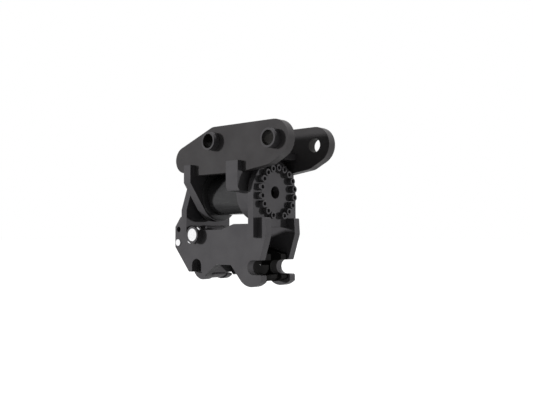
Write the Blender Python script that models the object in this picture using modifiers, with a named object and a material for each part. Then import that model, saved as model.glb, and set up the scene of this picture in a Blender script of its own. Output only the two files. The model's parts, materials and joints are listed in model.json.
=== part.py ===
"""Tilting quick coupler for an excavator of about 20 tonnes, in metres.

X runs to the front, -Y is the side with the pin collars, and Z is up. The origin is the centre of the front
stick pin on the mid-plane. The head hangs on the two stick pins and carries a helical rotary actuator. The
actuator's shaft swings everything below it about the tilt axis, which lies along X: two cross plates, the
coupler plates with the front hook and the rear seat, and the jaw that locks the rear bucket pin in its seat.
"""

import math

import bmesh
import bpy
from mathutils import Matrix, Vector

# Gap between pieces that touch, and how far a facet may stand off its arc
GAP = 0.0003
FACET_SAG = 0.0003

# Stick pins and the collars on the outside of the near head plate
STICK_PIN_R = 0.040
REAR_PIN_X = -0.4536
REAR_PIN_Z = 0.0261
STICK_COLLAR_R = 0.052
STICK_COLLAR_L = 0.0424
RETENTION_HOLE_R = 0.006
RETENTION_ANGLE = math.radians(40)

# Head plates
STICK_GAP = 0.298
HEAD_PLATE_T = 0.055
HEAD_LOBE_R = 0.104
HEAD_SHOULDER_X = -0.461
HEAD_SHOULDER_Z = 0.111
HEAD_TAIL_X = -0.700
HEAD_TAIL_Z = -0.060
HEAD_TAIL_R = 0.077
HEAD_BOTTOM_Z = -0.158
HEAD_BOTTOM_REAR_X = -0.610
HEAD_BOTTOM_FRONT_X = -0.230
HEAD_CHIN_X = -0.035
HEAD_CHIN_Z = -0.133
HEAD_CHAMFER = 0.002

# Floor between the head plates
FLOOR_TOP_Z = -0.036
FLOOR_T = 0.039
FLOOR_FRONT_X = -0.134

# Tilt axis and the actuator on it, from the front cross plate to the rear one
TILT_Z = -0.2668
FRONT_PLATE_X = -0.163
FRONT_PLATE_T = 0.040
FLANGE_T = 0.0204
FLANGE_RIM = 0.01825
FLANGE_RUNNING_GAP = 0.001
FRONT_SADDLE_T = 0.092
SADDLE_SPACING = 0.290
REAR_SADDLE_T = 0.057
HOUSING_TAIL_L = 0.014
REAR_RUNNING_GAP = 0.002
REAR_FLANGE_T = 0.0267
REAR_FLANGE_RIM = 0.025
REAR_PLATE_T = 0.045
SHAFT_CORE_R = 0.055
SHAFT_NECK_STEP = 0.010
SHAFT_SHOULDER = 0.025
SHAFT_BORE_R = 0.035
SHAFT_BORE_DEPTH = 0.060
BEARING_T = 0.020
BEARING_L = 0.042
REAR_BEARING_T = 0.030
REAR_BEARING_L = 0.031
BEARING_POCKET = 0.006
SEAL_L = 0.005
HOUSING_WALL = 0.023
RUNNING_FIT = 0.0005
TILT_SIDES = 32
PISTON_SLEEVE_L = 0.160
PORT_SPACING = 0.100
PORT_BOSS_R = 0.020
PORT_BOSS_RISE = 0.007
PORT_PLUG_R = 0.014
PORT_PLUG_L = 0.014

# Saddles that hold the actuator under the head plates
SADDLE_WALL = 0.038
EAR_TOP_Z = -0.098
FRONT_EAR_HALF = 0.238
FRONT_EAR_BOTTOM_Z = -0.241
FRONT_EAR_CHAMFER = 0.015
FRONT_EAR_FOOT_Z = -0.264
REAR_EAR_HALF = 0.240
REAR_EAR_BOTTOM_Z = -0.2005
END_RING_RISE = 0.033
END_RING_NOSE_RISE = 0.011
END_RING_L = 0.017

# Cross plates that swing with the shaft
CROSS_RIM = 0.04225
CROSS_EAR_DROP = 0.074
FRONT_CROSS_DROP = 0.017
REAR_CROSS_RISE = 0.004
REAR_CROSS_RIM = 0.044
REAR_TAPER_Z = -0.355

# Socket-head bolts: a ring of eighteen places at the front with the lowest left free, and a ring at the rear
FRONT_BOLT_PLACES = 18
FRONT_BOLT_CIRCLE_R = 0.13775
FRONT_BOLT_HEAD_R = 0.020
FRONT_BOLT_HEAD_L = 0.030
FRONT_BOLT_SHANK_R = 0.012
FRONT_BOLT_GRIP = 0.015
REAR_BOLTS = 8
REAR_BOLT_CIRCLE_R = 0.100
REAR_BOLT_HEAD_R = 0.017
REAR_BOLT_HEAD_L = 0.022
REAR_BOLT_SHANK_R = 0.010
REAR_BOLT_GRIP = 0.018
BOLT_HOLE_CLEARANCE = 0.0008
SOCKET_SHARE = 0.60
BOLT_CHAMFER = 0.0015
BOLT_SIDES = 16

# Bucket pins: the front hook opens forward, and the rear seat opens downward
BUCKET_PIN_R = 0.040
HOOK_X = -0.201
BUCKET_PIN_SPACING = 0.455
BUCKET_PIN_Z = -0.684

# Coupler plates
COUPLER_GAP = 0.197
COUPLER_PLATE_T = 0.0455
DECK_DROP = 0.1762
DECK_REAR_X = -0.350
NOSE_L = 0.061
NOSE_RISE = 0.033
NOSE_MIDDLE_Z = -0.500
NOSE_FILLET = 0.040
MOUTH_X = -0.150
WAIST_X = -0.448
WAIST_DROP = 0.031
REAR_NOSE_L = 0.050
REAR_NOSE_RISE = 0.081
TAIL_L = 0.098
TAIL_TOP_RISE = 0.021
TAIL_BOTTOM_Z = -0.575
SEAT_HEEL = 0.028
SEAT_HEEL_Z = -0.722
SEAT_TOE_Z = -0.719
TIP_X = -0.590
TIP_Z = -0.746
RECESS_REAR_X = -0.490
RECESS_FRONT_X = -0.370
RECESS_TOP_Z = -0.674
RECESS_FILLET = 0.012
HOOK_LOBE_X = -0.215
HOOK_LOBE_Z = -0.680
HOOK_LOBE_R = 0.111
LIP_X = -0.139
LIP_BOTTOM_Z = -0.763
LIP_FILLET = 0.010
CORNER_FILLET = 0.006

# Holes in the tail: a blind one at the top, and one below it that the lifting bar runs through
TAIL_HOLE_INSET = 0.031
PARKING_HOLE_R = 0.017
PARKING_HOLE_DEPTH = 0.025
PARKING_HOLE_DROP = 0.016
LIFTING_BAR_R = 0.0205
LIFTING_BAR_END = 0.006
LIFTING_BAR_RISE = 0.026

# Plates inside the hook, with the anchor of the lock cylinder, and the bar that ties them
DOUBLER_T = 0.055
DOUBLER_MOUTH_X = -0.158
DOUBLER_TOP_Z = -0.612
DOUBLER_LOBE_R = 0.087
DOUBLER_LIP_X = -0.166
DOUBLER_LIP_R = 0.014
ANCHOR_X = -0.285
ANCHOR_Z = -0.610
ANCHOR_BOSS_R = 0.034
ANCHOR_PIN_R = 0.018
TIE_BAR_FRONT_X = -0.172
TIE_BAR_T = 0.036
TIE_BAR_DROP = 0.0015
TIE_BAR_CHAMFER = 0.022
TIE_WALL_GAP = 0.005
TIE_WALL_T = 0.020
TIE_WALL_RISE = 0.010

# Plate in front of the rear seat
SEAT_PLATE_T = 0.011
SEAT_PLATE_TOP_Z = -0.655
SEAT_PLATE_BOTTOM_Z = -0.728

# Rear jaw on its pivot pin, which the near collar holds with a cross bolt
JAW_PIVOT_OFFSET = 0.003
JAW_PIVOT_RISE = 0.181
JAW_PIN_R = 0.0375
JAW_COLLAR_R = 0.050
JAW_COLLAR_L = 0.0397
CROSS_BOLT_R = 0.008
CROSS_BOLT_HEAD_R = 0.013
CROSS_BOLT_HEAD_L = 0.010
CROSS_BOLT_ANGLE = math.radians(45)
JAW_HUB_R = 0.058
JAW_OUTER_R = 0.084
JAW_CLEARANCE = 0.002
JAW_HALF = 0.095
JAW_WEB_HALF = 0.055
JAW_WEB_INSET = 0.007
JAW_TIP_X = 0.052
JAW_TIP_Z = -0.0575
JAW_TIP_R = 0.007
LEVER_FORWARD = 0.060
LEVER_DROP = 0.055
LEVER_EYE_R = 0.022
LEVER_SLOT_HALF = 0.0195
LEVER_HALF = 0.040
LEVER_PIN_R = 0.012

# Lock cylinder between the anchor pin and the jaw's lever, which pulls the jaw shut and pushes it open
BARREL_R = 0.034
BARREL_BORE_R = 0.026
BARREL_END = 0.262
BARREL_START = 0.022
BARREL_FLOOR = 0.140
BARREL_EYE_R = 0.030
BARREL_EYE_HALF = 0.025
GLAND_L = 0.025
GLAND_FLANGE_L = 0.010
ROD_R = 0.015
ROD_STROKE = 0.031
ROD_PISTON_L = 0.035
ROD_EYE_R = 0.020
ROD_EYE_HALF = 0.018
ROD_EYE_PLAY = 0.003

# Finishes: colour, roughness and metallic value
PAINT = ((0.075, 0.073, 0.078, 1.0), 0.45, 0.0)
DARK_STEEL = ((0.060, 0.060, 0.062, 1.0), 0.35, 0.9)
PLATED_STEEL = ((0.85, 0.85, 0.86, 1.0), 0.25, 1.0)
GROUND_STEEL = ((0.55, 0.55, 0.56, 1.0), 0.25, 1.0)
BRONZE = ((0.60, 0.42, 0.20, 1.0), 0.35, 1.0)
RUBBER = ((0.02, 0.02, 0.02, 1.0), 0.8, 0.0)

# Places worked out from the sizes above
HEAD_INNER_Y = STICK_GAP / 2
HEAD_OUTER_Y = HEAD_INNER_Y + HEAD_PLATE_T
COUPLER_INNER_Y = COUPLER_GAP / 2
COUPLER_OUTER_Y = COUPLER_INNER_Y + COUPLER_PLATE_T
FLOOR_BOTTOM_Z = FLOOR_TOP_Z - FLOOR_T
FRONT_PLATE_BACK_X = FRONT_PLATE_X - FRONT_PLATE_T
FLANGE_FRONT_X = FRONT_PLATE_BACK_X - GAP
FLANGE_BACK_X = FLANGE_FRONT_X - FLANGE_T
FRONT_SADDLE_X = FLANGE_BACK_X - FLANGE_RUNNING_GAP
FRONT_SADDLE_BACK_X = FRONT_SADDLE_X - FRONT_SADDLE_T
REAR_SADDLE_X = FRONT_SADDLE_BACK_X - SADDLE_SPACING
REAR_SADDLE_BACK_X = REAR_SADDLE_X - REAR_SADDLE_T
HOUSING_FRONT_X = FRONT_SADDLE_X
HOUSING_BACK_X = REAR_SADDLE_BACK_X - HOUSING_TAIL_L
REAR_FLANGE_FRONT_X = HOUSING_BACK_X - REAR_RUNNING_GAP
REAR_FLANGE_BACK_X = REAR_FLANGE_FRONT_X - REAR_FLANGE_T
REAR_PLATE_FRONT_X = REAR_FLANGE_BACK_X - GAP
REAR_PLATE_BACK_X = REAR_PLATE_FRONT_X - REAR_PLATE_T
FRONT_POCKET_X = HOUSING_FRONT_X - SEAL_L - BEARING_L - 3 * GAP
REAR_POCKET_X = HOUSING_BACK_X + SEAL_L + REAR_BEARING_L + 3 * GAP
PISTON_SLEEVE_X = (FRONT_POCKET_X + REAR_POCKET_X) / 2
SHAFT_NECK_R = SHAFT_CORE_R - SHAFT_NECK_STEP
SHAFT_JOURNAL_R = SHAFT_CORE_R + SHAFT_SHOULDER
BEARING_R = SHAFT_JOURNAL_R + BEARING_T
REAR_HUB_R = BEARING_R - REAR_BEARING_T
HOUSING_BORE_R = BEARING_R - BEARING_POCKET
HOUSING_R = HOUSING_BORE_R + HOUSING_WALL
SADDLE_R = HOUSING_R + SADDLE_WALL
FLANGE_R = FRONT_BOLT_CIRCLE_R + FLANGE_RIM
REAR_FLANGE_R = REAR_BOLT_CIRCLE_R + REAR_FLANGE_RIM
CROSS_HALF = FRONT_BOLT_CIRCLE_R + CROSS_RIM
REAR_CROSS_R = REAR_BOLT_CIRCLE_R + REAR_CROSS_RIM
DECK_Z = TILT_Z - DECK_DROP
WAIST_Z = DECK_Z - WAIST_DROP
NOSE_TOP_Z = DECK_Z + NOSE_RISE
REAR_NOSE_TOP_Z = WAIST_Z + REAR_NOSE_RISE
TAIL_TOP_Z = WAIST_Z + TAIL_TOP_RISE
TAIL_X = REAR_PLATE_BACK_X - TAIL_L
TAIL_HOLE_X = TAIL_X + TAIL_HOLE_INSET
LIFTING_BAR_Z = TAIL_BOTTOM_Z + LIFTING_BAR_RISE
CROSS_EAR_BOTTOM_Z = DECK_Z - CROSS_EAR_DROP
SEAT_X = HOOK_X - BUCKET_PIN_SPACING
JAW_PIVOT_X = SEAT_X + JAW_PIVOT_OFFSET
JAW_PIVOT_Z = BUCKET_PIN_Z + JAW_PIVOT_RISE
LEVER_PIN_X = JAW_PIVOT_X + LEVER_FORWARD
LEVER_PIN_Z = JAW_PIVOT_Z - LEVER_DROP
CYLINDER_L = math.hypot(LEVER_PIN_X - ANCHOR_X, LEVER_PIN_Z - ANCHOR_Z)
CYLINDER_TURN = math.atan2(LEVER_PIN_X - ANCHOR_X, LEVER_PIN_Z - ANCHOR_Z)
PIN_CLEARANCE = GAP

ALONG_X = (0, math.radians(90), 0)
ALONG_MINUS_X = (0, math.radians(-90), 0)
ALONG_Y = (math.radians(-90), 0, 0)
ALONG_Z = (0, 0, 0)
ACROSS_Y = (math.radians(90), 0, 0)
ACROSS_X = (math.radians(90), 0, math.radians(90))


def collection(name):
    made = bpy.data.collections.new(name)
    bpy.context.scene.collection.children.link(made)
    return made


def corner(across, up, fillet=0.0):
    return ("corner", across, up, fillet)


def rounded(across, up, radius):
    """A circle that the outline runs round: convex if radius is positive, concave if negative."""
    return ("round", across, up, radius)


def sweep_steps(radius, sweep):
    step = 2 * math.acos(1 - min(FACET_SAG / abs(radius), 0.5))
    return max(1, math.ceil(abs(sweep) / step))


def arc(across, up, radius, start, end):
    steps = sweep_steps(radius, end - start)
    angles = [start + (end - start) * i / steps for i in range(steps + 1)]
    return [(across + radius * math.cos(a), up + radius * math.sin(a)) for a in angles]


def tangent_angle(first, second):
    """The direction of the outward normal of the line that leaves one station and meets the next."""
    across = second[1] - first[1]
    up = second[2] - first[2]
    radii = [station[3] if station[0] == "round" else 0.0 for station in (first, second)]
    return math.atan2(up, across) - math.acos((radii[0] - radii[1]) / math.hypot(across, up))


def fillet_points(before, point, after, radius):
    """The arc of this radius that rounds off a corner."""
    back = (Vector(before) - Vector(point)).normalized()
    ahead = (Vector(after) - Vector(point)).normalized()
    half = back.angle(ahead) / 2
    centre = Vector(point) + (back + ahead).normalized() * radius / math.sin(half)
    start = Vector(point) + back * radius / math.tan(half) - centre
    end = Vector(point) + ahead * radius / math.tan(half) - centre
    turn = math.atan2(start.x * end.y - start.y * end.x, start.dot(end))
    first = math.atan2(start.y, start.x)
    return arc(centre.x, centre.y, radius, first, first + turn)


def outline(stations):
    """Points of a closed outline, anticlockwise, round corners and circles joined by their tangents."""
    runs = []
    for i, station in enumerate(stations):
        if station[0] == "corner":
            runs.append([(station[1], station[2])])
            continue
        radius = station[3]
        start = tangent_angle(stations[i - 1], station)
        end = tangent_angle(station, stations[(i + 1) % len(stations)])
        sweep = math.copysign((end - start) * math.copysign(1, radius) % math.tau, radius)
        runs.append(arc(station[1], station[2], radius, start, start + sweep))
    points = []
    for i, station in enumerate(stations):
        if station[0] == "corner" and station[3]:
            after = runs[(i + 1) % len(runs)][0]
            points += fillet_points(runs[i - 1][-1], runs[i][0], after, station[3])
        else:
            points += runs[i]
    return points


def circle(across, up, radius, sides=None):
    sides = sides or sweep_steps(radius, math.tau)
    turns = [math.tau * i / sides for i in range(sides)]
    return [(across + radius * math.cos(t), up + radius * math.sin(t)) for t in turns]


def bolt_circle(radius, places, skipped=()):
    """Places (y, z) evenly round the tilt axis, counted from the top."""
    turns = [math.tau * i / places for i in range(places) if i not in skipped]
    return [(radius * math.sin(t), TILT_Z + radius * math.cos(t)) for t in turns]


def as_mesh(guide, name):
    """The evaluated mesh of a guide object, welded and facing out. The guide is removed."""
    bpy.context.view_layer.update()
    graph = bpy.context.evaluated_depsgraph_get()
    mesh = bpy.data.meshes.new_from_object(guide.evaluated_get(graph))
    mesh.name = name
    bpy.data.objects.remove(guide)
    work = bmesh.new()
    work.from_mesh(mesh)
    bmesh.ops.remove_doubles(work, verts=work.verts, dist=1e-6)
    bmesh.ops.recalc_face_normals(work, faces=work.faces)
    work.to_mesh(mesh)
    work.free()
    mesh.shade_smooth()
    mesh.set_sharp_from_angle(angle=math.radians(30))
    return mesh


def place(mesh, name, group, location, rotation):
    piece = bpy.data.objects.new(name, mesh)
    piece.location = location
    piece.rotation_euler = rotation
    group.objects.link(piece)
    return piece


def flat_mesh(name, loops, thickness):
    """A plate from closed loops, the first its edge and the rest its holes, centred on its own thickness."""
    curve = bpy.data.curves.new(name, "CURVE")
    curve.dimensions = "2D"
    curve.fill_mode = "BOTH"
    curve.extrude = thickness / 2
    for loop in loops:
        spline = curve.splines.new("POLY")
        spline.points.add(len(loop) - 1)
        for point, (across, up) in zip(spline.points, loop):
            point.co = (across, up, 0, 1)
        spline.use_cyclic_u = True
    guide = bpy.data.objects.new(name, curve)
    bpy.context.scene.collection.objects.link(guide)
    return as_mesh(guide, name)


def side_plate(name, group, loops, low_y, high_y):
    """A plate that stands along X, between two values of Y. Its loops are in X and Z."""
    mesh = flat_mesh(name, loops, high_y - low_y)
    return place(mesh, name, group, (0, (low_y + high_y) / 2, 0), ACROSS_Y)


def cross_plate(name, group, loops, low_x, high_x):
    """A plate that stands across, between two values of X. Its loops are in Y and Z."""
    mesh = flat_mesh(name, loops, high_x - low_x)
    return place(mesh, name, group, ((low_x + high_x) / 2, 0, 0), ACROSS_X)


def turned_mesh(name, profile, closed, sides=None):
    """A solid of revolution about its own Z. The profile (height, radius) runs down its outer side."""
    mesh = bpy.data.meshes.new(name)
    count = len(profile)
    edges = [(i, (i + 1) % count) for i in range(count if closed else count - 1)]
    mesh.from_pydata([(radius, 0, height) for height, radius in profile], edges, [])
    guide = bpy.data.objects.new(name, mesh)
    bpy.context.scene.collection.objects.link(guide)
    screw = guide.modifiers.new("turn", "SCREW")
    screw.steps = sides or sweep_steps(max(radius for _, radius in profile), math.tau)
    screw.render_steps = screw.steps
    screw.use_merge_vertices = True
    screw.merge_threshold = 1e-5
    return as_mesh(guide, name)


def turned(name, group, profile, centre, rotation, closed=False, sides=None):
    return place(turned_mesh(name, profile, closed, sides), name, group, centre, rotation)


def ring(name, group, low, high, inner, outer, centre, rotation):
    profile = [(high, inner), (high, outer), (low, outer), (low, inner)]
    return turned(name, group, profile, centre, rotation, closed=True)


def on_tilt_axis(name, group, profile, closed=True):
    """A turned piece on the tilt axis. All of these have their facets in line."""
    return turned(name, group, profile, (0, 0, TILT_Z), ALONG_X, closed, TILT_SIDES)


def rod(name, group, low, high, radius, centre, rotation):
    profile = [(high, 0), (high, radius), (low, radius), (low, 0)]
    return turned(name, group, profile, centre, rotation)


def helper(piece):
    """Marks a piece as one that only cuts or joins another."""
    piece.hide_render = True
    piece.display_type = "WIRE"
    return piece


def combine(piece, other, operation):
    change = piece.modifiers.new(other.name, "BOOLEAN")
    change.operation = operation
    change.object = helper(other)
    change.solver = "EXACT"


def cut(piece, other):
    combine(piece, other, "DIFFERENCE")


def join(piece, other):
    combine(piece, other, "UNION")


def finish(piece, look):
    colour, roughness, metallic = look
    material = bpy.data.materials.new(piece.name)
    material.use_nodes = True
    shader = material.node_tree.nodes["Principled BSDF"]
    shader.inputs["Base Color"].default_value = colour
    shader.inputs["Roughness"].default_value = roughness
    shader.inputs["Metallic"].default_value = metallic
    material.diffuse_color = colour
    piece.data = piece.data.copy() if piece.data.materials else piece.data
    piece.data.materials.append(material)
    return piece


def axis_empty(name, group, location, carrier=None):
    empty = bpy.data.objects.new(name, None)
    empty.location = location
    group.objects.link(empty)
    if carrier:
        carry(carrier, [empty])
    return empty


def place_of(empty):
    """Where an empty stands. Each is placed in world coordinates and turned by nothing."""
    return Vector(empty.location)


def carry(empty, pieces):
    """Hangs pieces on an empty without moving them."""
    for piece in pieces:
        piece.parent = empty
        piece.matrix_parent_inverse = Matrix.Translation(-place_of(empty))


def head_outline():
    return outline([
        rounded(0, 0, HEAD_LOBE_R),
        corner(HEAD_SHOULDER_X, HEAD_SHOULDER_Z, HEAD_TAIL_R),
        rounded(HEAD_TAIL_X, HEAD_TAIL_Z, HEAD_TAIL_R),
        corner(HEAD_BOTTOM_REAR_X, HEAD_BOTTOM_Z, CORNER_FILLET),
        corner(HEAD_BOTTOM_FRONT_X, HEAD_BOTTOM_Z),
        corner(HEAD_CHIN_X, HEAD_CHIN_Z, HEAD_TAIL_R),
    ])


def chamfered(piece, width):
    bevel = piece.modifiers.new("chamfer", "BEVEL")
    bevel.width = width
    bevel.segments = 1
    bevel.limit_method = "ANGLE"
    bevel.angle_limit = math.radians(60)
    return piece


def head_plates(parts):
    loops = [head_outline(), circle(0, 0, STICK_PIN_R), circle(REAR_PIN_X, REAR_PIN_Z, STICK_PIN_R)]
    near = side_plate("head_plate_near", parts, loops, -HEAD_OUTER_Y, -HEAD_INNER_Y)
    far = side_plate("head_plate_far", parts, loops, HEAD_INNER_Y, HEAD_OUTER_Y)
    return [chamfered(finish(plate, PAINT), HEAD_CHAMFER) for plate in (near, far)]


def radial_drill(name, cutters, centre, angle, low, high, radius):
    """A cutter that points away from an axis along Y, at an angle above the front."""
    turn = (0, math.radians(90) - angle, 0)
    return rod(name, cutters, low, high, radius, centre, turn)


def pin_collars(parts, cutters):
    places = {"front_pin_collar": (0, 0), "rear_pin_collar": (REAR_PIN_X, REAR_PIN_Z)}
    outer_end = HEAD_OUTER_Y + GAP + STICK_COLLAR_L
    made = []
    for name, (x, z) in places.items():
        collar = ring(name, parts, -outer_end, -HEAD_OUTER_Y - GAP, STICK_PIN_R, STICK_COLLAR_R,
                      (x, 0, z), ALONG_Y)
        middle = (x, -outer_end + STICK_COLLAR_L / 2, z)
        drill = radial_drill(name + "_drill", cutters, middle, RETENTION_ANGLE,
                             STICK_PIN_R / 2, STICK_COLLAR_R * 2, RETENTION_HOLE_R)
        cut(collar, drill)
        made.append(finish(collar, PAINT))
    return made


def head_floor(parts):
    half = HEAD_INNER_Y - GAP
    loop = [(FLOOR_FRONT_X, -half), (FLOOR_FRONT_X, half), (REAR_SADDLE_BACK_X, half),
            (REAR_SADDLE_BACK_X, -half)]
    mesh = flat_mesh("head_floor_plate", [loop], FLOOR_T)
    middle = (FLOOR_TOP_Z + FLOOR_BOTTOM_Z) / 2
    floor = place(mesh, "head_floor_plate", parts, (0, 0, middle), ALONG_Z)
    return chamfered(finish(floor, PAINT), HEAD_CHAMFER)


def saddle_top(ear_half):
    """The upper edge of a saddle from its +Y ear to its -Y ear, notched for the head plates."""
    notch_z = HEAD_BOTTOM_Z - GAP
    inner = HEAD_INNER_Y - GAP
    outer = HEAD_OUTER_Y + GAP
    half = [(ear_half, EAR_TOP_Z), (outer, EAR_TOP_Z), (outer, notch_z), (inner, notch_z),
            (inner, FLOOR_BOTTOM_Z - GAP)]
    return half + [(-y, z) for y, z in reversed(half)]


def front_saddle(parts):
    inset = FRONT_EAR_HALF - FRONT_EAR_CHAMFER
    meet = math.acos((FRONT_EAR_FOOT_Z - TILT_Z) / SADDLE_R) - math.pi / 2
    bottom = arc(0, TILT_Z, SADDLE_R, math.pi + meet, math.tau - meet)
    loop = saddle_top(FRONT_EAR_HALF) + [(-FRONT_EAR_HALF, FRONT_EAR_BOTTOM_Z), (-inset, FRONT_EAR_FOOT_Z)]
    loop += bottom + [(inset, FRONT_EAR_FOOT_Z), (FRONT_EAR_HALF, FRONT_EAR_BOTTOM_Z)]
    loops = [loop, circle(0, TILT_Z, HOUSING_R + GAP, TILT_SIDES)]
    saddle = cross_plate("front_saddle_block", parts, loops, FRONT_SADDLE_BACK_X, FRONT_SADDLE_X)
    return finish(saddle, PAINT)


def rear_saddle(parts):
    top = [corner(y, z) for y, z in saddle_top(REAR_EAR_HALF)]
    sides = [corner(-REAR_EAR_HALF, REAR_EAR_BOTTOM_Z), rounded(0, TILT_Z, SADDLE_R),
             corner(REAR_EAR_HALF, REAR_EAR_BOTTOM_Z)]
    loops = [outline(top + sides), circle(0, TILT_Z, HOUSING_R + GAP, TILT_SIDES)]
    saddle = cross_plate("rear_saddle_plate", parts, loops, REAR_SADDLE_BACK_X, REAR_SADDLE_X)
    return finish(saddle, PAINT)


def end_ring(parts):
    low = REAR_SADDLE_X + GAP
    high = low + END_RING_L
    outer = HOUSING_R + END_RING_RISE
    profile = [(high, HOUSING_R + GAP), (high, HOUSING_R + END_RING_NOSE_RISE), (low + END_RING_L / 2, outer),
               (low, outer), (low, HOUSING_R + GAP)]
    return finish(on_tilt_axis("rear_end_ring", parts, profile), PAINT)


def actuator_housing(parts, cutters):
    """The tube round the actuator, with two capped ports on top."""
    profile = [
        (HOUSING_FRONT_X, BEARING_R), (HOUSING_FRONT_X, HOUSING_R), (HOUSING_BACK_X, HOUSING_R),
        (HOUSING_BACK_X, BEARING_R), (REAR_POCKET_X, BEARING_R), (REAR_POCKET_X, HOUSING_BORE_R),
        (FRONT_POCKET_X, HOUSING_BORE_R), (FRONT_POCKET_X, BEARING_R),
    ]
    housing = on_tilt_axis("actuator_housing", parts, profile)
    seat = HOUSING_R + PORT_BOSS_RISE
    cap = [(seat + PORT_PLUG_L, 0), (seat + PORT_PLUG_L, PORT_PLUG_R), (seat, PORT_PLUG_R),
           (seat, PORT_BOSS_R), (HOUSING_R - HOUSING_WALL / 2, PORT_BOSS_R), (HOUSING_R - HOUSING_WALL / 2, 0)]
    for name, side in (("front_port", 1), ("rear_port", -1)):
        centre = (PISTON_SLEEVE_X + side * PORT_SPACING / 2, 0, TILT_Z)
        join(housing, turned(name, cutters, cap, centre, ALONG_Z))
    return finish(housing, PAINT)


def running_ring(name, parts, low, length, inner):
    """A ring between the housing and the shaft, which turns inside it."""
    outer = BEARING_R - GAP
    high = low + length
    return on_tilt_axis(name, parts, [(high, inner), (high, outer), (low, outer), (low, inner)])


def bearings_and_seals(parts):
    front_bore = SHAFT_JOURNAL_R + RUNNING_FIT
    rear_bore = REAR_HUB_R + RUNNING_FIT
    front_seal_x = HOUSING_FRONT_X - GAP - SEAL_L
    front_bearing_x = front_seal_x - GAP - BEARING_L
    rear_seal_x = HOUSING_BACK_X + GAP
    rear_bearing_x = rear_seal_x + SEAL_L + GAP
    finish(running_ring("front_seal", parts, front_seal_x, SEAL_L, front_bore), RUBBER)
    finish(running_ring("front_bearing", parts, front_bearing_x, BEARING_L, front_bore), BRONZE)
    finish(running_ring("rear_seal", parts, rear_seal_x, SEAL_L, rear_bore), RUBBER)
    finish(running_ring("rear_bearing", parts, rear_bearing_x, REAR_BEARING_L, rear_bore), BRONZE)


def front_bolt_places():
    return bolt_circle(FRONT_BOLT_CIRCLE_R, FRONT_BOLT_PLACES, skipped=(FRONT_BOLT_PLACES // 2,))


def rear_bolt_places():
    return bolt_circle(REAR_BOLT_CIRCLE_R, REAR_BOLTS)


def drills(name, cutters, places, radius, low_x, high_x):
    """One cutter that holds every hole of a bolt circle."""
    length = high_x - low_x
    middle = (low_x + high_x) / 2
    work = bmesh.new()
    for y, z in places:
        matrix = Matrix.Translation((middle, y, z)) @ Matrix.Rotation(math.radians(90), 4, "Y")
        bmesh.ops.create_cone(work, cap_ends=True, segments=12, radius1=radius, radius2=radius,
                              depth=length, matrix=matrix)
    mesh = bpy.data.meshes.new(name)
    work.to_mesh(mesh)
    work.free()
    return place(mesh, name, cutters, (0, 0, 0), ALONG_Z)


def actuator_shaft(parts, cutters):
    journal_end = FRONT_POCKET_X
    core_end = REAR_POCKET_X
    bore_end = FLANGE_FRONT_X - SHAFT_BORE_DEPTH
    profile = [
        (bore_end, 0), (bore_end, SHAFT_BORE_R), (FLANGE_FRONT_X, SHAFT_BORE_R), (FLANGE_FRONT_X, FLANGE_R),
        (FLANGE_BACK_X, FLANGE_R), (FLANGE_BACK_X, SHAFT_JOURNAL_R), (journal_end, SHAFT_JOURNAL_R),
        (journal_end, SHAFT_CORE_R), (core_end, SHAFT_CORE_R), (core_end, SHAFT_NECK_R),
        (REAR_FLANGE_BACK_X, SHAFT_NECK_R), (REAR_FLANGE_BACK_X, 0),
    ]
    shaft = on_tilt_axis("actuator_shaft", parts, profile, closed=False)
    hole_r = FRONT_BOLT_SHANK_R + BOLT_HOLE_CLEARANCE
    holes = drills("flange_bolt_holes", cutters, front_bolt_places(), hole_r,
                   FLANGE_FRONT_X - FRONT_BOLT_GRIP - BOLT_HOLE_CLEARANCE, FRONT_PLATE_X)
    cut(shaft, holes)
    return finish(shaft, DARK_STEEL)


def rear_end_flange(parts, cutters):
    inner = SHAFT_NECK_R + GAP
    profile = [
        (REAR_POCKET_X - GAP, inner), (REAR_POCKET_X - GAP, REAR_HUB_R), (REAR_FLANGE_FRONT_X, REAR_HUB_R),
        (REAR_FLANGE_FRONT_X, REAR_FLANGE_R), (REAR_FLANGE_BACK_X, REAR_FLANGE_R), (REAR_FLANGE_BACK_X, inner),
    ]
    flange = on_tilt_axis("rear_end_flange", parts, profile)
    hole_r = REAR_BOLT_SHANK_R + BOLT_HOLE_CLEARANCE
    holes = drills("rear_flange_bolt_holes", cutters, rear_bolt_places(), hole_r,
                   REAR_PLATE_BACK_X, REAR_FLANGE_BACK_X + REAR_BOLT_GRIP + BOLT_HOLE_CLEARANCE)
    cut(flange, holes)
    return finish(flange, DARK_STEEL)


def helical_piston(parts):
    low = PISTON_SLEEVE_X - PISTON_SLEEVE_L / 2
    high = PISTON_SLEEVE_X + PISTON_SLEEVE_L / 2
    outer = HOUSING_BORE_R - GAP
    inner = SHAFT_CORE_R + RUNNING_FIT
    profile = [(high, inner), (high, outer), (low, outer), (low, inner)]
    return finish(on_tilt_axis("helical_piston", parts, profile), GROUND_STEEL)


def cross_foot(bottom_z, notch_z):
    """The lower edge of a cross plate from its -Y ear to its +Y ear, notched for the coupler plates."""
    inner = COUPLER_INNER_Y - GAP
    outer = COUPLER_OUTER_Y + GAP
    half = [(-CROSS_HALF, CROSS_EAR_BOTTOM_Z), (-outer, CROSS_EAR_BOTTOM_Z), (-outer, notch_z + GAP),
            (-inner, notch_z + GAP), (-inner, bottom_z)]
    return half + [(-y, z) for y, z in reversed(half)]


def bolt_holes(places, radius):
    return [[(y + radius * math.cos(a), z + radius * math.sin(a)) for a in
             [math.tau * i / 12 for i in range(12)]] for y, z in places]


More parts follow.
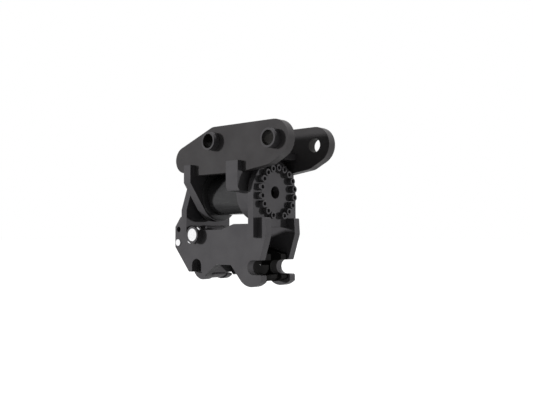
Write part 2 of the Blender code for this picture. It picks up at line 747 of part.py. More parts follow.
def front_cross_plate(parts):
    loop = arc(0, TILT_Z, CROSS_HALF, 0, math.pi) + cross_foot(DECK_Z - FRONT_CROSS_DROP, DECK_Z)
    holes = bolt_holes(front_bolt_places(), FRONT_BOLT_SHANK_R + BOLT_HOLE_CLEARANCE)
    loops = [loop, circle(0, TILT_Z, SHAFT_BORE_R)] + holes
    plate = cross_plate("front_cross_plate", parts, loops, FRONT_PLATE_BACK_X, FRONT_PLATE_X)
    return finish(plate, PAINT)


def rear_cross_plate(parts):
    foot = [corner(y, z) for y, z in cross_foot(WAIST_Z + REAR_CROSS_RISE, WAIST_Z)]
    loop = outline([corner(CROSS_HALF, REAR_TAPER_Z), rounded(0, TILT_Z, REAR_CROSS_R),
                    corner(-CROSS_HALF, REAR_TAPER_Z)] + foot)
    holes = bolt_holes(rear_bolt_places(), REAR_BOLT_SHANK_R + BOLT_HOLE_CLEARANCE)
    plate = cross_plate("rear_cross_plate", parts, [loop] + holes, REAR_PLATE_BACK_X, REAR_PLATE_FRONT_X)
    return finish(plate, PAINT)


def bolt_mesh(name, cutters, head_r, head_l, shank_r, shank_l):
    """A socket-head bolt that stands on its own origin, head up."""
    profile = [(head_l, 0), (head_l, head_r - BOLT_CHAMFER), (head_l - BOLT_CHAMFER, head_r), (0, head_r),
               (0, shank_r), (-shank_l, shank_r), (-shank_l, 0)]
    body = place(turned_mesh(name, profile, False, BOLT_SIDES), name, cutters, (0, 0, 0), ALONG_Z)
    socket_mesh = turned_mesh(name + "_socket", [(head_l * 2, 0), (head_l * 2, head_r * SOCKET_SHARE),
                                                 (head_l / 2, head_r * SOCKET_SHARE), (head_l / 2, 0)],
                              False, 6)
    socket = place(socket_mesh, name + "_socket", cutters, (0, 0, 0), ALONG_Z)
    cut(body, socket)
    mesh = as_mesh(body, name)
    bpy.data.objects.remove(socket)
    return mesh


def ring_of_bolts(parts, name, mesh, places, face_x, rotation):
    made = []
    for number, (y, z) in enumerate(places, 1):
        bolt = place(mesh.copy(), f"{name}_{number:02d}", parts, (face_x, y, z), rotation)
        made.append(finish(bolt, PAINT))
    return made


def flange_bolts(parts, cutters):
    front = bolt_mesh("front_flange_bolt", cutters, FRONT_BOLT_HEAD_R, FRONT_BOLT_HEAD_L, FRONT_BOLT_SHANK_R,
                      FRONT_PLATE_T + FRONT_BOLT_GRIP)
    rear = bolt_mesh("rear_flange_bolt", cutters, REAR_BOLT_HEAD_R, REAR_BOLT_HEAD_L, REAR_BOLT_SHANK_R,
                     REAR_PLATE_T + REAR_BOLT_GRIP)
    made = ring_of_bolts(parts, "front_flange_bolt", front, front_bolt_places(), FRONT_PLATE_X + GAP, ALONG_X)
    made += ring_of_bolts(parts, "rear_flange_bolt", rear, rear_bolt_places(), REAR_PLATE_BACK_X - GAP,
                          ALONG_MINUS_X)
    return made


def coupler_outline():
    nose_x = FRONT_PLATE_X + NOSE_L
    notch_front = FRONT_PLATE_X + GAP
    notch_rear = REAR_PLATE_BACK_X - GAP
    seat_rear = SEAT_X - BUCKET_PIN_R
    seat_front = SEAT_X + BUCKET_PIN_R
    return outline([
        corner(REAR_PLATE_BACK_X - REAR_NOSE_L, REAR_NOSE_TOP_Z, CORNER_FILLET),
        corner(TAIL_X, TAIL_TOP_Z, CORNER_FILLET),
        corner(TAIL_X, TAIL_BOTTOM_Z, CORNER_FILLET),
        corner(seat_rear - SEAT_HEEL, SEAT_HEEL_Z),
        corner(seat_rear, SEAT_HEEL_Z),
        rounded(SEAT_X, BUCKET_PIN_Z, -BUCKET_PIN_R),
        corner(seat_front, SEAT_TOE_Z),
        corner(TIP_X, TIP_Z, CORNER_FILLET),
        corner(RECESS_REAR_X, RECESS_TOP_Z, RECESS_FILLET),
        corner(RECESS_FRONT_X, RECESS_TOP_Z, RECESS_FILLET),
        rounded(HOOK_LOBE_X, HOOK_LOBE_Z, HOOK_LOBE_R),
        corner(LIP_X, LIP_BOTTOM_Z, CORNER_FILLET),
        corner(LIP_X, BUCKET_PIN_Z - BUCKET_PIN_R, LIP_FILLET),
        rounded(HOOK_X, BUCKET_PIN_Z, -BUCKET_PIN_R),
        corner(MOUTH_X, BUCKET_PIN_Z + BUCKET_PIN_R, CORNER_FILLET),
        corner(nose_x, NOSE_MIDDLE_Z, NOSE_FILLET),
        corner(nose_x - CORNER_FILLET, NOSE_TOP_Z, CORNER_FILLET),
        corner(notch_front, NOSE_TOP_Z),
        corner(notch_front, DECK_Z),
        corner(DECK_REAR_X, DECK_Z),
        corner(WAIST_X, WAIST_Z),
        corner(notch_rear, WAIST_Z),
        corner(notch_rear, REAR_NOSE_TOP_Z),
    ])


def coupler_plates(parts, cutters):
    loops = [coupler_outline(), circle(JAW_PIVOT_X, JAW_PIVOT_Z, JAW_PIN_R + PIN_CLEARANCE),
             circle(TAIL_HOLE_X, LIFTING_BAR_Z, LIFTING_BAR_R + PIN_CLEARANCE)]
    near = side_plate("coupler_plate_near", parts, loops, -COUPLER_OUTER_Y, -COUPLER_INNER_Y)
    far = side_plate("coupler_plate_far", parts, loops, COUPLER_INNER_Y, COUPLER_OUTER_Y)
    for plate, side in ((near, -1), (far, 1)):
        floor = side * (COUPLER_OUTER_Y - PARKING_HOLE_DEPTH)
        ends = sorted((floor, side * 2 * COUPLER_OUTER_Y))
        drill = rod(plate.name + "_drill", cutters, ends[0], ends[1], PARKING_HOLE_R,
                    (TAIL_HOLE_X, 0, TAIL_TOP_Z - PARKING_HOLE_DROP), ALONG_Y)
        cut(plate, drill)
        finish(plate, PAINT)
    return [near, far]


def lifting_bar(parts):
    half = COUPLER_OUTER_Y + LIFTING_BAR_END
    bar = rod("lifting_bar", parts, -half, half, LIFTING_BAR_R, (TAIL_HOLE_X, 0, LIFTING_BAR_Z), ALONG_Y)
    return finish(bar, PLATED_STEEL)


def hook_doublers(parts):
    lip_z = BUCKET_PIN_Z - BUCKET_PIN_R
    loop = outline([
        rounded(ANCHOR_X, ANCHOR_Z, ANCHOR_BOSS_R),
        rounded(HOOK_LOBE_X, HOOK_LOBE_Z, DOUBLER_LOBE_R),
        rounded(DOUBLER_LIP_X, lip_z - DOUBLER_LIP_R, DOUBLER_LIP_R),
        rounded(HOOK_X, BUCKET_PIN_Z, -BUCKET_PIN_R),
        corner(DOUBLER_MOUTH_X, BUCKET_PIN_Z + BUCKET_PIN_R),
        corner(DOUBLER_MOUTH_X, DOUBLER_TOP_Z),
    ])
    loops = [loop, circle(ANCHOR_X, ANCHOR_Z, ANCHOR_PIN_R + PIN_CLEARANCE)]
    outer = COUPLER_INNER_Y - GAP
    inner = outer - DOUBLER_T
    near = side_plate("hook_doubler_near", parts, loops, -outer, -inner)
    far = side_plate("hook_doubler_far", parts, loops, inner, outer)
    return [finish(near, PAINT), finish(far, PAINT)]


def hook_tie_bar(parts):
    """A bar under the front bucket pin with a wall behind the pin."""
    top = BUCKET_PIN_Z - BUCKET_PIN_R - TIE_BAR_DROP
    bottom = top - TIE_BAR_T
    middle = top - TIE_BAR_T / 2
    wall_front = HOOK_X - BUCKET_PIN_R - TIE_WALL_GAP
    wall_back = wall_front - TIE_WALL_T
    wall_top = BUCKET_PIN_Z + TIE_WALL_RISE
    half = COUPLER_INNER_Y - DOUBLER_T - 2 * GAP
    loop = [
        (TIE_BAR_FRONT_X, middle), (TIE_BAR_FRONT_X, top), (wall_front, top), (wall_front, wall_top),
        (wall_back, wall_top), (wall_back, middle), (wall_back + TIE_BAR_CHAMFER, bottom),
        (TIE_BAR_FRONT_X - TIE_BAR_CHAMFER, bottom),
    ]
    return finish(side_plate("hook_tie_bar", parts, [loop], -half, half), PAINT)


def rear_seat_plate(parts):
    half = COUPLER_INNER_Y - GAP
    back = SEAT_X + BUCKET_PIN_R + GAP
    loop = [(half, SEAT_PLATE_BOTTOM_Z), (half, SEAT_PLATE_TOP_Z), (-half, SEAT_PLATE_TOP_Z),
            (-half, SEAT_PLATE_BOTTOM_Z)]
    return finish(cross_plate("rear_seat_plate", parts, [loop], back, back + SEAT_PLATE_T), PAINT)


def jaw_profile(inset):
    """The jaw seen from the side: hub, arm behind the bucket pin, and lip below it."""
    outer = JAW_OUTER_R - inset
    tip_x = SEAT_X + JAW_TIP_X - inset / 2
    tip_z = BUCKET_PIN_Z + JAW_TIP_Z + inset / 2
    return outline([
        rounded(JAW_PIVOT_X, JAW_PIVOT_Z, JAW_HUB_R - inset / 4),
        rounded(SEAT_X, BUCKET_PIN_Z, outer),
        rounded(tip_x, tip_z, JAW_TIP_R - inset / 4),
        rounded(SEAT_X, BUCKET_PIN_Z, -BUCKET_PIN_R - JAW_CLEARANCE - inset / 8),
    ])


def rear_jaw(parts, cutters):
    web_half = JAW_WEB_HALF + JAW_WEB_INSET / 4
    jaw = side_plate("rear_jaw", parts, [jaw_profile(JAW_WEB_INSET)], -web_half, web_half)
    for side, name in ((-1, "jaw_prong_near"), (1, "jaw_prong_far")):
        ends = sorted((side * JAW_WEB_HALF, side * JAW_HALF))
        join(jaw, side_plate(name, cutters, [jaw_profile(0)], ends[0], ends[1]))
    lever = outline([
        rounded(JAW_PIVOT_X, JAW_PIVOT_Z, JAW_HUB_R - JAW_WEB_INSET / 2),
        rounded(LEVER_PIN_X, LEVER_PIN_Z, LEVER_EYE_R),
    ])
    for side, name in ((-1, "jaw_lever_near"), (1, "jaw_lever_far")):
        ends = sorted((side * LEVER_SLOT_HALF, side * LEVER_HALF))
        join(jaw, side_plate(name, cutters, [lever], ends[0], ends[1]))
    pivot = rod("jaw_pivot_drill", cutters, -COUPLER_INNER_Y, COUPLER_INNER_Y, JAW_PIN_R + PIN_CLEARANCE,
                (JAW_PIVOT_X, 0, JAW_PIVOT_Z), ALONG_Y)
    cut(jaw, pivot)
    eye = rod("jaw_lever_drill", cutters, -COUPLER_INNER_Y, COUPLER_INNER_Y, LEVER_PIN_R + PIN_CLEARANCE,
              (LEVER_PIN_X, 0, LEVER_PIN_Z), ALONG_Y)
    cut(jaw, eye)
    return finish(jaw, PAINT)


def lever_pin(parts):
    pin = rod("jaw_lever_pin", parts, -LEVER_HALF, LEVER_HALF, LEVER_PIN_R,
              (LEVER_PIN_X, 0, LEVER_PIN_Z), ALONG_Y)
    return finish(pin, GROUND_STEEL)


def jaw_pin_set(parts, cutters):
    """The pivot pin, the collar on the near plate and the bolt through both."""
    axis = (JAW_PIVOT_X, 0, JAW_PIVOT_Z)
    collar_low = -COUPLER_OUTER_Y - GAP - JAW_COLLAR_L
    collar = ring("jaw_pin_collar", parts, collar_low, -COUPLER_OUTER_Y - GAP, JAW_PIN_R + PIN_CLEARANCE,
                  JAW_COLLAR_R, axis, ALONG_Y)
    pin = rod("jaw_pivot_pin", parts, collar_low, COUPLER_OUTER_Y, JAW_PIN_R, axis, ALONG_Y)
    middle = (JAW_PIVOT_X, collar_low + JAW_COLLAR_L / 2, JAW_PIVOT_Z)
    reach = JAW_COLLAR_R * 2
    for piece in (collar, pin):
        cut(piece, radial_drill(piece.name + "_drill", cutters, middle, CROSS_BOLT_ANGLE, -reach, reach,
                                CROSS_BOLT_R + PIN_CLEARANCE))
    seat = JAW_COLLAR_R + GAP
    end = seat + CROSS_BOLT_HEAD_L
    profile = [(end, 0), (end, CROSS_BOLT_HEAD_R), (seat, CROSS_BOLT_HEAD_R), (seat, CROSS_BOLT_R),
               (-seat, CROSS_BOLT_R), (-seat, CROSS_BOLT_HEAD_R), (-end, CROSS_BOLT_HEAD_R), (-end, 0)]
    turn = (0, math.radians(90) - CROSS_BOLT_ANGLE, 0)
    bolt = turned("jaw_pin_bolt", parts, profile, middle, turn, sides=24)
    finish(collar, PAINT)
    for piece in (pin, bolt):
        finish(piece, PLATED_STEEL)
    return [collar, pin, bolt]


def anchor_pin(parts):
    half = COUPLER_INNER_Y - 2 * GAP
    pin = rod("cylinder_anchor_pin", parts, -half, half, ANCHOR_PIN_R, (ANCHOR_X, 0, ANCHOR_Z), ALONG_Y)
    return finish(pin, GROUND_STEEL)


def cylinder_barrel(parts, cutters):
    centre = (ANCHOR_X, 0, ANCHOR_Z)
    turn = (0, CYLINDER_TURN, 0)
    profile = [(BARREL_FLOOR, 0), (BARREL_FLOOR, BARREL_BORE_R), (BARREL_END, BARREL_BORE_R),
               (BARREL_END, BARREL_R), (BARREL_START, BARREL_R), (BARREL_START, 0)]
    barrel = turned("cylinder_barrel", parts, profile, centre, turn)
    join(barrel, rod("barrel_eye", cutters, -BARREL_EYE_HALF, BARREL_EYE_HALF, BARREL_EYE_R, centre, ALONG_Y))
    cut(barrel, rod("barrel_eye_drill", cutters, -BARREL_R * 2, BARREL_R * 2, ANCHOR_PIN_R + PIN_CLEARANCE,
                    centre, ALONG_Y))
    return finish(barrel, PAINT)


def cylinder_gland(parts):
    inner = ROD_R + GAP
    plug = BARREL_BORE_R - GAP
    low = BARREL_END - GLAND_L
    face = BARREL_END + GAP
    high = face + GLAND_FLANGE_L
    profile = [(high, inner), (high, BARREL_R), (face, BARREL_R), (face, plug), (low, plug), (low, inner)]
    gland = turned("cylinder_gland", parts, profile, (ANCHOR_X, 0, ANCHOR_Z), (0, CYLINDER_TURN, 0), closed=True)
    return finish(gland, DARK_STEEL)


def cylinder_rod(parts, cutters):
    centre = (ANCHOR_X, 0, ANCHOR_Z)
    piston_r = BARREL_BORE_R - GAP
    top = BARREL_END - GLAND_L - ROD_STROKE - JAW_CLEARANCE
    bottom = top - ROD_PISTON_L
    profile = [(CYLINDER_L, 0), (CYLINDER_L, ROD_R), (top, ROD_R), (top, piston_r), (bottom, piston_r),
               (bottom, 0)]
    piece = turned("cylinder_rod", parts, profile, centre, (0, CYLINDER_TURN, 0))
    eye_centre = (LEVER_PIN_X, 0, LEVER_PIN_Z)
    join(piece, rod("rod_eye", cutters, -ROD_EYE_HALF, ROD_EYE_HALF, ROD_EYE_R, eye_centre, ALONG_Y))
    cut(piece, rod("rod_eye_drill", cutters, -ROD_EYE_R, ROD_EYE_R, LEVER_PIN_R + ROD_EYE_PLAY,
                   eye_centre, ALONG_Y))
    return finish(piece, GROUND_STEEL)


def main():
    for thing in list(bpy.data.objects):
        bpy.data.objects.remove(thing)
    parts = collection("tilting_quick_coupler")
    cutters = collection("cutters")

    head_plates(parts)
    pin_collars(parts, cutters)
    head_floor(parts)
    front_saddle(parts)
    rear_saddle(parts)
    end_ring(parts)
    actuator_housing(parts, cutters)
    bearings_and_seals(parts)

    tilt_axis = axis_empty("tilt_axis", parts, (0, 0, TILT_Z))
    carry(tilt_axis, [actuator_shaft(parts, cutters), rear_end_flange(parts, cutters),
                      front_cross_plate(parts), rear_cross_plate(parts)])
    carry(tilt_axis, flange_bolts(parts, cutters))
    carry(tilt_axis, coupler_plates(parts, cutters))
    carry(tilt_axis, hook_doublers(parts))
    carry(tilt_axis, [hook_tie_bar(parts), rear_seat_plate(parts), anchor_pin(parts), lifting_bar(parts)])
    carry(tilt_axis, jaw_pin_set(parts, cutters))

    piston_slide = axis_empty("piston_slide", parts, (PISTON_SLEEVE_X, 0, TILT_Z))
    carry(piston_slide, [helical_piston(parts)])
    jaw_pivot = axis_empty("jaw_pivot", parts, (JAW_PIVOT_X, 0, JAW_PIVOT_Z), tilt_axis)
    carry(jaw_pivot, [rear_jaw(parts, cutters), lever_pin(parts)])
    barrel_pivot = axis_empty("barrel_pivot", parts, (ANCHOR_X, 0, ANCHOR_Z), tilt_axis)
    carry(barrel_pivot, [cylinder_barrel(parts, cutters), cylinder_gland(parts)])
    rod_slide = axis_empty("rod_slide", parts, (LEVER_PIN_X, 0, LEVER_PIN_Z), barrel_pivot)
    carry(rod_slide, [cylinder_rod(parts, cutters)])


main()
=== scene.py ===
"""Looks, light and camera for the tilting quick coupler. Metres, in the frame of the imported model."""

import json
import math

import bpy
from mathutils import Matrix, Vector


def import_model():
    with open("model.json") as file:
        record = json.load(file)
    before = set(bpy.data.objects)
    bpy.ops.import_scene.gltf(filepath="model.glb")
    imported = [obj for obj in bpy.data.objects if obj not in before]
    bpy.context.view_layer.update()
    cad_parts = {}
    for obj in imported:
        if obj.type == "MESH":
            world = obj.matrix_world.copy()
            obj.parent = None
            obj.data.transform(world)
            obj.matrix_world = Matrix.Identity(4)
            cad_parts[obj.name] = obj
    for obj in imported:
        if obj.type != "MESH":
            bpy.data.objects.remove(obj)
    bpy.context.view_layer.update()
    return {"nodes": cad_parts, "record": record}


CAMERA_AT = (2.3057, -2.8177, -0.5264)
CAMERA_AZIMUTH = math.radians(41.97)
CAMERA_ELEVATION = math.radians(-2.81)
CAMERA_LENS = 45.17
SENSOR_WIDTH = 36

FLOOR_Z = -1.6
FLOOR_HALF = 400.0
FLOOR_GLOW = 0.90
FLOOR_SHADE = 0.16
AMBIENT = 0.09
KEY_DIRECTION = (0.70, 0.66, 0.03)
KEY_STRENGTH = 3.1
KEY_ANGLE = math.radians(3)
FILL_DIRECTION = (-0.65, -0.74, 0.13)
FILL_STRENGTH = 4.4
FILL_ANGLE = math.radians(5)
TOP_DIRECTION = (0.0, 0.35, 1.0)
TOP_STRENGTH = 5.0
TOP_ANGLE = math.radians(6)

STICK_BORES = ("front_stick_bore", "rear_stick_bore")
# The stick bores' walls are painted near black: painted shade, standing in for the shadow inside the bores.
BORE_SHADE_REACH = 0.0412
BORE_SHADE = (0.013, 0.012, 0.011)
NOISE_LOW = 0.3
NOISE_HIGH = 0.7
DARK_UP_TO = 0.32
LIGHT_FROM = 0.68

WELD_GAP = 1e-5
FLAT_ANGLE = math.radians(0.5)
SHARP_ANGLE = math.radians(35)
EDGE_SEGMENTS = 2
EVEN_WEIGHT = 100
PLATE_EDGE = 0.0016
SMALL_EDGE = 0.0008
SMALL_PARTS = ("flange_bolt", "pin_bolt", "lifting_bar")
FINE_EDGE = 0.0006
FINE_PARTS = ("seal", "bearing", "cylinder", "lever_pin")

PAINTED = "paint"
# The head plates take a darker copy of the coupler paint: painted shade.
SHADED_HEAD_PAINT = "shaded_head_paint"
# The hook's tie bar and doublers take near-black paint: painted shade for the dark space below the cross
# plate.
SHADE_PAINT = "painted_shade_paint"
GLOSSY = "gloss_paint"
BRIGHT = "plated_steel"
GROUND = "ground_steel"
DARK = "dark_steel"
BRONZE = "bronze"
RUBBER = "rubber"
OWN_LOOKS = {
    "actuator_housing": GLOSSY,
    "rear_end_ring": GLOSSY,
    "head_plate_near": SHADED_HEAD_PAINT,
    "head_plate_far": SHADED_HEAD_PAINT,
    # The head plates and the hook's tie bar and doublers carry painted shade.
    "hook_tie_bar": SHADE_PAINT,
    "hook_doubler_near": SHADE_PAINT,
    "hook_doubler_far": SHADE_PAINT,
}


def node_tree(name):
    material = bpy.data.materials.new(name)
    material.use_nodes = True
    tree = material.node_tree
    return material, tree, tree.nodes["Principled BSDF"]


def calculated(tree, operation, first, second):
    """The result of one Math node. The first value is a socket, and the second a socket or a number."""
    node = tree.nodes.new("ShaderNodeMath")
    node.operation = operation
    tree.links.new(first, node.inputs[0])
    if isinstance(second, bpy.types.NodeSocket):
        tree.links.new(second, node.inputs[1])
    else:
        node.inputs[1].default_value = second
    return node.outputs["Value"]


def object_noise(tree, scale, detail, stretch=(1, 1, 1)):
    """Noise fixed to the piece, in metres."""
    place = tree.nodes.new("ShaderNodeTexCoord")
    mapping = tree.nodes.new("ShaderNodeMapping")
    mapping.inputs["Scale"].default_value = stretch
    noise = tree.nodes.new("ShaderNodeTexNoise")
    noise.inputs["Scale"].default_value = scale
    noise.inputs["Detail"].default_value = detail
    tree.links.new(place.outputs["Object"], mapping.inputs["Vector"])
    tree.links.new(mapping.outputs["Vector"], noise.inputs["Vector"])
    return noise.outputs["Fac"]


def between(tree, noise, low, high):
    """A value that runs from low to high as noise does."""
    spread = tree.nodes.new("ShaderNodeMapRange")
    spread.inputs["From Min"].default_value = NOISE_LOW
    spread.inputs["From Max"].default_value = NOISE_HIGH
    spread.inputs["To Min"].default_value = low
    spread.inputs["To Max"].default_value = high
    tree.links.new(noise, spread.inputs["Value"])
    return spread.outputs["Result"]


def colour_between(tree, noise, dark, light):
    """A colour that runs from dark to light as noise does."""
    ramp = tree.nodes.new("ShaderNodeValToRGB")
    first, last = ramp.color_ramp.elements
    first.position = DARK_UP_TO
    first.color = (*dark, 1)
    last.position = LIGHT_FROM
    last.color = (*light, 1)
    tree.links.new(noise, ramp.inputs["Fac"])
    return ramp.outputs["Color"]


def bump(tree, shader, height, distance, strength):
    node = tree.nodes.new("ShaderNodeBump")
    node.inputs["Distance"].default_value = distance
    node.inputs["Strength"].default_value = strength
    tree.links.new(height, node.inputs["Height"])
    tree.links.new(node.outputs["Normal"], shader.inputs["Normal"])


def stick_axes(record):
    """X and Z of each stick pin's axis, in the middle of its bore's opening."""
    boxes = [row["box_m"] for row in record["physics"]["openings"] if row["name"] in STICK_BORES]
    return [((low[0] + high[0]) / 2, (low[2] + high[2]) / 2) for low, high in boxes]


def distance_from(tree, flat_place, x, z):
    """How far a place, with its Y set to 0, is from the axis along Y through x and z."""
    node = tree.nodes.new("ShaderNodeVectorMath")
    node.operation = "DISTANCE"
    node.inputs[1].default_value = (x, 0, z)
    tree.links.new(flat_place, node.inputs[0])
    return node.outputs["Value"]


def inside_bores(tree, axes):
    """1 within reach of the painted shade, which ends just past the bores' walls, and 0 elsewhere."""
    place = tree.nodes.new("ShaderNodeTexCoord")
    flat = tree.nodes.new("ShaderNodeVectorMath")
    flat.operation = "MULTIPLY"
    flat.inputs[1].default_value = (1, 0, 1)
    tree.links.new(place.outputs["Object"], flat.inputs[0])
    nearest, *others = [distance_from(tree, flat.outputs["Vector"], x, z) for x, z in axes]
    for other in others:
        nearest = calculated(tree, "MINIMUM", nearest, other)
    return calculated(tree, "LESS_THAN", nearest, BORE_SHADE_REACH)


def with_bore_shade(tree, colour, bores):
    """The colour, with painted shade over the walls of the bores: a dark colour in place of the shadow inside
    them.
    """
    over = tree.nodes.new("ShaderNodeMix")
    over.data_type = "RGBA"
    over.inputs["B"].default_value = (*BORE_SHADE, 1)
    tree.links.new(bores, over.inputs["Factor"])
    tree.links.new(colour, over.inputs["A"])
    return over.outputs["Result"]


def satin_paint(name, dark, light, axes, shine=0.12):
    """Sprayed enamel: faint clouds in colour and gloss, a fine orange peel, and painted shade on the walls of
    the stick bores.
    """
    material, tree, shader = node_tree(name)
    clouds = object_noise(tree, scale=9, detail=6)
    hazes = object_noise(tree, scale=24, detail=4)
    peel = object_noise(tree, scale=650, detail=2)
    # Painted shade: the bores' walls take a dark colour in place of their shadow.
    colour = with_bore_shade(tree, colour_between(tree, clouds, dark, light), inside_bores(tree, axes))
    tree.links.new(colour, shader.inputs["Base Color"])
    tree.links.new(between(tree, hazes, low=0.42, high=0.56), shader.inputs["Roughness"])
    shader.inputs["Specular IOR Level"].default_value = shine
    bump(tree, shader, peel, distance=0.0004, strength=0.12)
    return material


def gloss_paint(name, dark, light):
    """The same enamel laid on smoother, as on the turned steel of the actuator."""
    material, tree, shader = node_tree(name)
    streaks = object_noise(tree, scale=18, detail=4, stretch=(1, 5, 5))
    tree.links.new(colour_between(tree, streaks, dark, light), shader.inputs["Base Color"])
    tree.links.new(between(tree, streaks, low=0.16, high=0.30), shader.inputs["Roughness"])
    shader.inputs["Specular IOR Level"].default_value = 0.10
    bump(tree, shader, streaks, distance=0.0004, strength=0.06)
    return material


def brushed_metal(name, dark, light, smooth, rough, stretch=(1, 1, 1)):
    """Machined or plated metal, with fine lines along the direction that stretch leaves long."""
    material, tree, shader = node_tree(name)
    lines = object_noise(tree, scale=60, detail=3, stretch=stretch)
    tree.links.new(colour_between(tree, lines, dark, light), shader.inputs["Base Color"])
    tree.links.new(between(tree, lines, smooth, rough), shader.inputs["Roughness"])
    shader.inputs["Metallic"].default_value = 1.0
    bump(tree, shader, lines, distance=0.0002, strength=0.05)
    return material


def matt_rubber(name, dark, light):
    material, tree, shader = node_tree(name)
    clouds = object_noise(tree, scale=40, detail=4)
    tree.links.new(colour_between(tree, clouds, dark, light), shader.inputs["Base Color"])
    tree.links.new(between(tree, clouds, low=0.7, high=0.85), shader.inputs["Roughness"])
    return material


def paints(axes):
    return {
        PAINTED: satin_paint("coupler_paint", (0.055, 0.053, 0.056), (0.066, 0.064, 0.067), axes),
        # A darker copy of the coupler paint for the head plates: painted shade.
        SHADED_HEAD_PAINT: satin_paint("shaded_head_paint", (0.040, 0.038, 0.039), (0.049, 0.047, 0.048), axes),
        # Near-black paint for the hook's tie bar and doublers: painted shade, with no gloss.
        SHADE_PAINT: satin_paint("painted_shade_paint", (0.012, 0.012, 0.012), (0.020, 0.019, 0.019), axes, shine=0.0),
        GLOSSY: gloss_paint("actuator_paint", (0.035, 0.035, 0.036), (0.042, 0.042, 0.043)),
    }


def bare_looks():
    return {
        BRIGHT: brushed_metal("zinc_plate", (0.80, 0.80, 0.81), (0.93, 0.93, 0.94), 0.22, 0.34, (1, 8, 1)),
        GROUND: brushed_metal("ground_steel", (0.46, 0.46, 0.47), (0.60, 0.60, 0.61), 0.20, 0.32, (8, 1, 8)),
        DARK: brushed_metal("phosphated_steel", (0.05, 0.05, 0.052), (0.08, 0.08, 0.082), 0.38, 0.5),
        BRONZE: brushed_metal("bearing_bronze", (0.52, 0.35, 0.16), (0.66, 0.46, 0.22), 0.28, 0.4, (1, 8, 8)),
        RUBBER: matt_rubber("seal_rubber", (0.012, 0.012, 0.012), (0.022, 0.022, 0.022)),
    }


def coat(node, material):
    """Gives a node one finish all over, and smooth shading in place of the normals it came with."""
    mesh = node.data
    if "custom_normal" in mesh.attributes:
        mesh.attributes.remove(mesh.attributes["custom_normal"])
    mesh.shade_smooth()
    mesh.materials.clear()
    mesh.materials.append(material)


def round_edges(node, width):
    """Rounds a node's sharp edges a little and keeps its flat faces flat."""
    weld = node.modifiers.new("weld", "WELD")
    weld.merge_threshold = WELD_GAP
    flat = node.modifiers.new("flat_faces", "DECIMATE")
    flat.decimate_type = "DISSOLVE"
    flat.angle_limit = FLAT_ANGLE
    bevel = node.modifiers.new("edges", "BEVEL")
    bevel.width = width
    bevel.segments = EDGE_SEGMENTS
    bevel.limit_method = "ANGLE"
    bevel.angle_limit = SHARP_ANGLE
    bevel.miter_outer = "MITER_ARC"
    even = node.modifiers.new("even_normals", "WEIGHTED_NORMAL")
    even.weight = EVEN_WEIGHT


def edge_of(name):
    """How far a node's edges are rounded, by how heavy its plate is."""
    if any(part in name for part in SMALL_PARTS):
        return SMALL_EDGE
    if any(part in name for part in FINE_PARTS):
        return FINE_EDGE
    return PLATE_EDGE


def dress(frame):
    """Every node gets the look of its slot in the record, or its own: gloss paint on the actuator, and darker
    paint as painted shade on the head plates and the hook's tie bar and doublers.
    """
    record = frame["record"]
    looks = {**paints(stick_axes(record)), **bare_looks()}
    slots = {row["node"]: row["material_slot"] for row in record["subparts"]}
    for name, node in frame["nodes"].items():
        coat(node, looks[OWN_LOOKS.get(name, slots[name])])
        round_edges(node, edge_of(name))


def camera():
    level = math.cos(CAMERA_ELEVATION)
    back = Vector((math.sin(CAMERA_AZIMUTH) * level, -math.cos(CAMERA_AZIMUTH) * level,
                   math.sin(CAMERA_ELEVATION)))
    right = Vector((math.cos(CAMERA_AZIMUTH), math.sin(CAMERA_AZIMUTH), 0))
    up = back.cross(right)
    data = bpy.data.cameras.new("camera")
    data.lens = CAMERA_LENS
    data.sensor_width = SENSOR_WIDTH
    data.sensor_fit = "HORIZONTAL"
    made = bpy.data.objects.new("camera", data)
    made.matrix_world = Matrix.Translation(CAMERA_AT) @ Matrix((right, up, back)).transposed().to_4x4()
    bpy.context.scene.collection.objects.link(made)
    bpy.context.scene.camera = made


def seen_or_mirrored(tree):
    """1 for a ray from the camera, a reflection or a refraction, and 0 for one that lights a surface."""
    path = tree.nodes.new("ShaderNodeLightPath")
    seen = path.outputs["Is Camera Ray"]
    for ray in ("Is Glossy Ray", "Is Transmission Ray"):
        seen = calculated(tree, "MAXIMUM", seen, path.outputs[ray])
    return seen


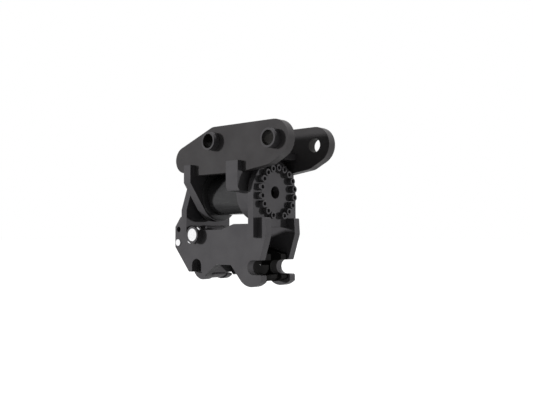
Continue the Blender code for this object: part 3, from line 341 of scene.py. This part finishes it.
def surroundings():
    """A white surround where it is seen, and a plain soft light on the object."""
    world = bpy.data.worlds.new("surround")
    world.use_nodes = True
    bpy.context.scene.world = world
    tree = world.node_tree
    background = tree.nodes["Background"]
    background.inputs["Color"].default_value = (1, 1, 1, 1)
    level = tree.nodes.new("ShaderNodeMapRange")
    level.inputs["To Min"].default_value = AMBIENT
    level.inputs["To Max"].default_value = 1.0
    tree.links.new(seen_or_mirrored(tree), level.inputs["Value"])
    tree.links.new(level.outputs["Result"], background.inputs["Strength"])


def floor_look():
    """A pale floor that looks white where no shadow falls on it."""
    material, tree, shader = node_tree("pale_floor")
    shader.inputs["Base Color"].default_value = (FLOOR_SHADE, FLOOR_SHADE, FLOOR_SHADE, 1)
    shader.inputs["Roughness"].default_value = 0.9
    shader.inputs["Specular IOR Level"].default_value = 0.0
    glow = calculated(tree, "MULTIPLY", seen_or_mirrored(tree), FLOOR_GLOW)
    tree.links.new(glow, shader.inputs["Emission Strength"])
    shader.inputs["Emission Color"].default_value = (1, 1, 1, 1)
    return material


def floor():
    mesh = bpy.data.meshes.new("floor")
    turns = ((-1, -1), (1, -1), (1, 1), (-1, 1))
    corners = [(x * FLOOR_HALF, y * FLOOR_HALF, FLOOR_Z) for x, y in turns]
    mesh.from_pydata(corners, [], [(0, 1, 2, 3)])
    mesh.materials.append(floor_look())
    made = bpy.data.objects.new("floor", mesh)
    bpy.context.scene.collection.objects.link(made)


def sun(name, direction, strength, angle):
    """A distant lamp that shines from a direction. Gloss mirrors the surroundings and not the lamps."""
    data = bpy.data.lights.new(name, "SUN")
    data.energy = strength
    data.angle = angle
    made = bpy.data.objects.new(name, data)
    made.rotation_mode = "QUATERNION"
    made.rotation_quaternion = Vector(direction).to_track_quat("Z", "Y")
    made.visible_glossy = False
    bpy.context.scene.collection.objects.link(made)


def main():
    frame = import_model()
    bpy.context.scene.view_settings.view_transform = "Standard"
    camera()
    surroundings()
    floor()
    sun("key", KEY_DIRECTION, KEY_STRENGTH, KEY_ANGLE)
    sun("fill", FILL_DIRECTION, FILL_STRENGTH, FILL_ANGLE)
    sun("top", TOP_DIRECTION, TOP_STRENGTH, TOP_ANGLE)
    dress(frame)


main()
